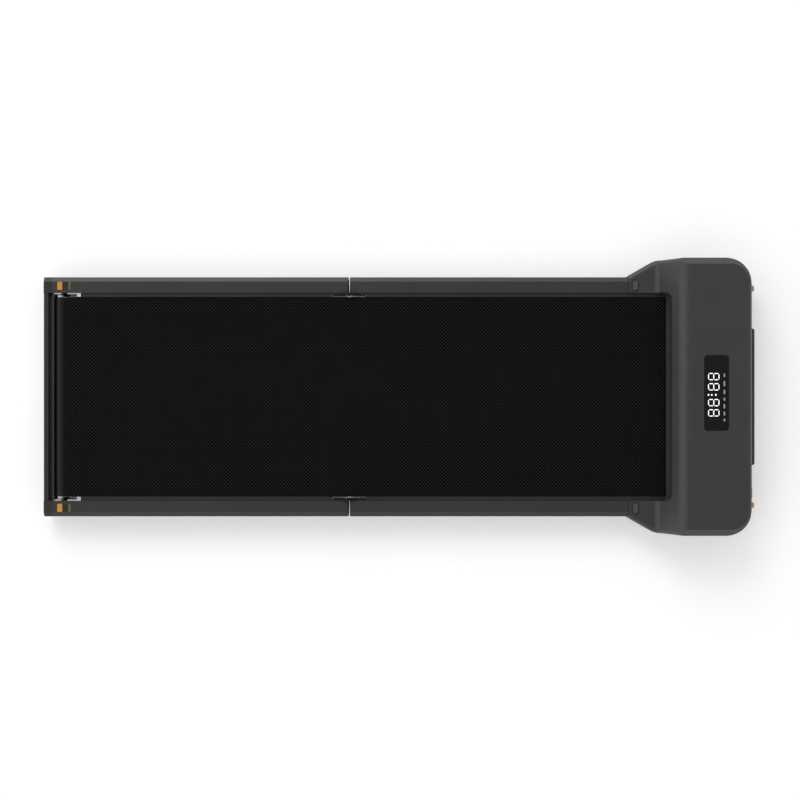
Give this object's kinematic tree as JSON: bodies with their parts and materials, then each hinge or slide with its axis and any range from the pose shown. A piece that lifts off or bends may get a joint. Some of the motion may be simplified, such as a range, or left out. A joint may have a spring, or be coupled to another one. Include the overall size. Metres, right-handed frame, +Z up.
{
  "type": "folding walking pad",
  "caption": "Flat motorised walking pad: ramped motor head with display, belt between hollow rails, and a hinge that folds the rear half over the front half.",
  "frame": {"origin": "middle of the footprint, on the floor", "axes": "+X along the belt towards the motor head, +Y to the walker's left, +Z up"},
  "size_m": [1.432, 0.547, 0.129],
  "materials": {
    "hood_plastic": "fine grained dark grey moulding",
    "rail_metal": "dark grey powder-coated extrusion",
    "cap_plastic": "dark grey moulding",
    "belt_rubber": "black diamond-embossed belt",
    "deck_board": "coated board",
    "dark_steel": "black oxide steel",
    "bright_steel": "bright zinc-plated steel",
    "black_rubber": "soft matte black",
    "orange_tyre": "orange tread",
    "hub_plastic": "black moulding",
    "lens_plastic": "glossy smoked panel",
    "circuit_board": "green laminate",
    "motor_paint": "black enamel",
    "sink_aluminium": "bare extrusion",
    "black_plastic": "black moulding",
    "blade_brass": "plated blades"
  },
  "bodies": {
    "front_half": {"motor_hood": "hood_plastic", "motor_pan": "hood_plastic", "display_lens": "lens_plastic", "display_board": "circuit_board", "left_front_rail": "rail_metal", "right_front_rail": "rail_metal", "front_deck": "deck_board", "front_cross_tubes": "dark_steel", "front_hinge_blocks": "dark_steel", "front_hinge_leaves": "dark_steel", "fold_pins": "dark_steel", "left_side_plate": "dark_steel", "right_side_plate": "dark_steel", "head_crossbar": "dark_steel", "drive_motor": "motor_paint", "ribbed_belt": "black_rubber", "drive_bearings": "bright_steel", "controller_box": "black_plastic", "heat_sink": "sink_aluminium", "power_inlet": "black_plastic", "inlet_blades": "blade_brass", "switch_frame": "black_plastic", "front_bumper": "black_rubber", "wheel_forks": "hub_plastic", "wheel_axles": "bright_steel", "shoulder_pads": "black_rubber", "front_feet": "black_rubber", "head_feet": "black_rubber", "hood_screws": "bright_steel", "front_belt": "belt_rubber"},
    "rear_half": {"left_rear_rail": "rail_metal", "right_rear_rail": "rail_metal", "rear_deck": "deck_board", "rear_cross_tubes": "dark_steel", "rear_hinge_blocks": "dark_steel", "rear_hinge_leaves": "dark_steel", "rear_end_bar": "cap_plastic", "left_end_cap": "cap_plastic", "right_end_cap": "cap_plastic", "left_tension_bracket": "bright_steel", "right_tension_bracket": "bright_steel", "tension_bolts": "bright_steel", "rear_axle": "dark_steel", "rear_feet": "black_rubber", "rear_belt": "belt_rubber"},
    "drive_roller": {"drive_roller_tube": "bright_steel", "drive_roller_shaft": "bright_steel", "roller_pulley": "sink_aluminium"},
    "motor_rotor": {"motor_shaft": "bright_steel", "motor_pulley": "sink_aluminium"},
    "rear_roller": {"rear_roller_tube": "bright_steel", "rear_roller_bearings": "bright_steel"},
    "left_wheel": {"left_wheel_hub": "hub_plastic", "left_wheel_tyre": "orange_tyre"},
    "right_wheel": {"right_wheel_hub": "hub_plastic", "right_wheel_tyre": "orange_tyre"},
    "power_switch": {"switch_rocker": "black_plastic"}
  },
  "joints": [
    {"name": "fold_hinge", "type": "hinge", "parent": "front_half", "child": "rear_half", "pos_m": [-0.103, 0, 0.0645], "axis": [0, 1, 0], "range_deg": [0, 180]},
    {"name": "drive_roller_spin", "type": "hinge", "parent": "front_half", "child": "drive_roller", "pos_m": [0.56, 0, 0.0344], "axis": [0, 1, 0], "continuous": true},
    {"name": "motor_spin", "type": "hinge", "parent": "front_half", "child": "motor_rotor", "pos_m": [0.627, 0, 0.072], "axis": [0, 1, 0], "continuous": true},
    {"name": "rear_roller_spin", "type": "hinge", "parent": "rear_half", "child": "rear_roller", "pos_m": [-0.674, 0, 0.0344], "axis": [0, 1, 0], "continuous": true},
    {"name": "left_wheel_spin", "type": "hinge", "parent": "front_half", "child": "left_wheel", "pos_m": [0.692, 0.219, 0.03], "axis": [0, 1, 0], "continuous": true},
    {"name": "right_wheel_spin", "type": "hinge", "parent": "front_half", "child": "right_wheel", "pos_m": [0.692, -0.219, 0.03], "axis": [0, 1, 0], "continuous": true},
    {"name": "switch_tilt", "type": "hinge", "parent": "front_half", "child": "power_switch", "pos_m": [0.703, -0.193, 0.03], "axis": [0, 1, 0], "range_deg": [0, 16]}
  ],
  "couplings": [
    {"joint": "motor_spin", "follows": "drive_roller_spin", "ratio": 2},
    {"joint": "rear_roller_spin", "follows": "drive_roller_spin", "ratio": 1}
  ]
}
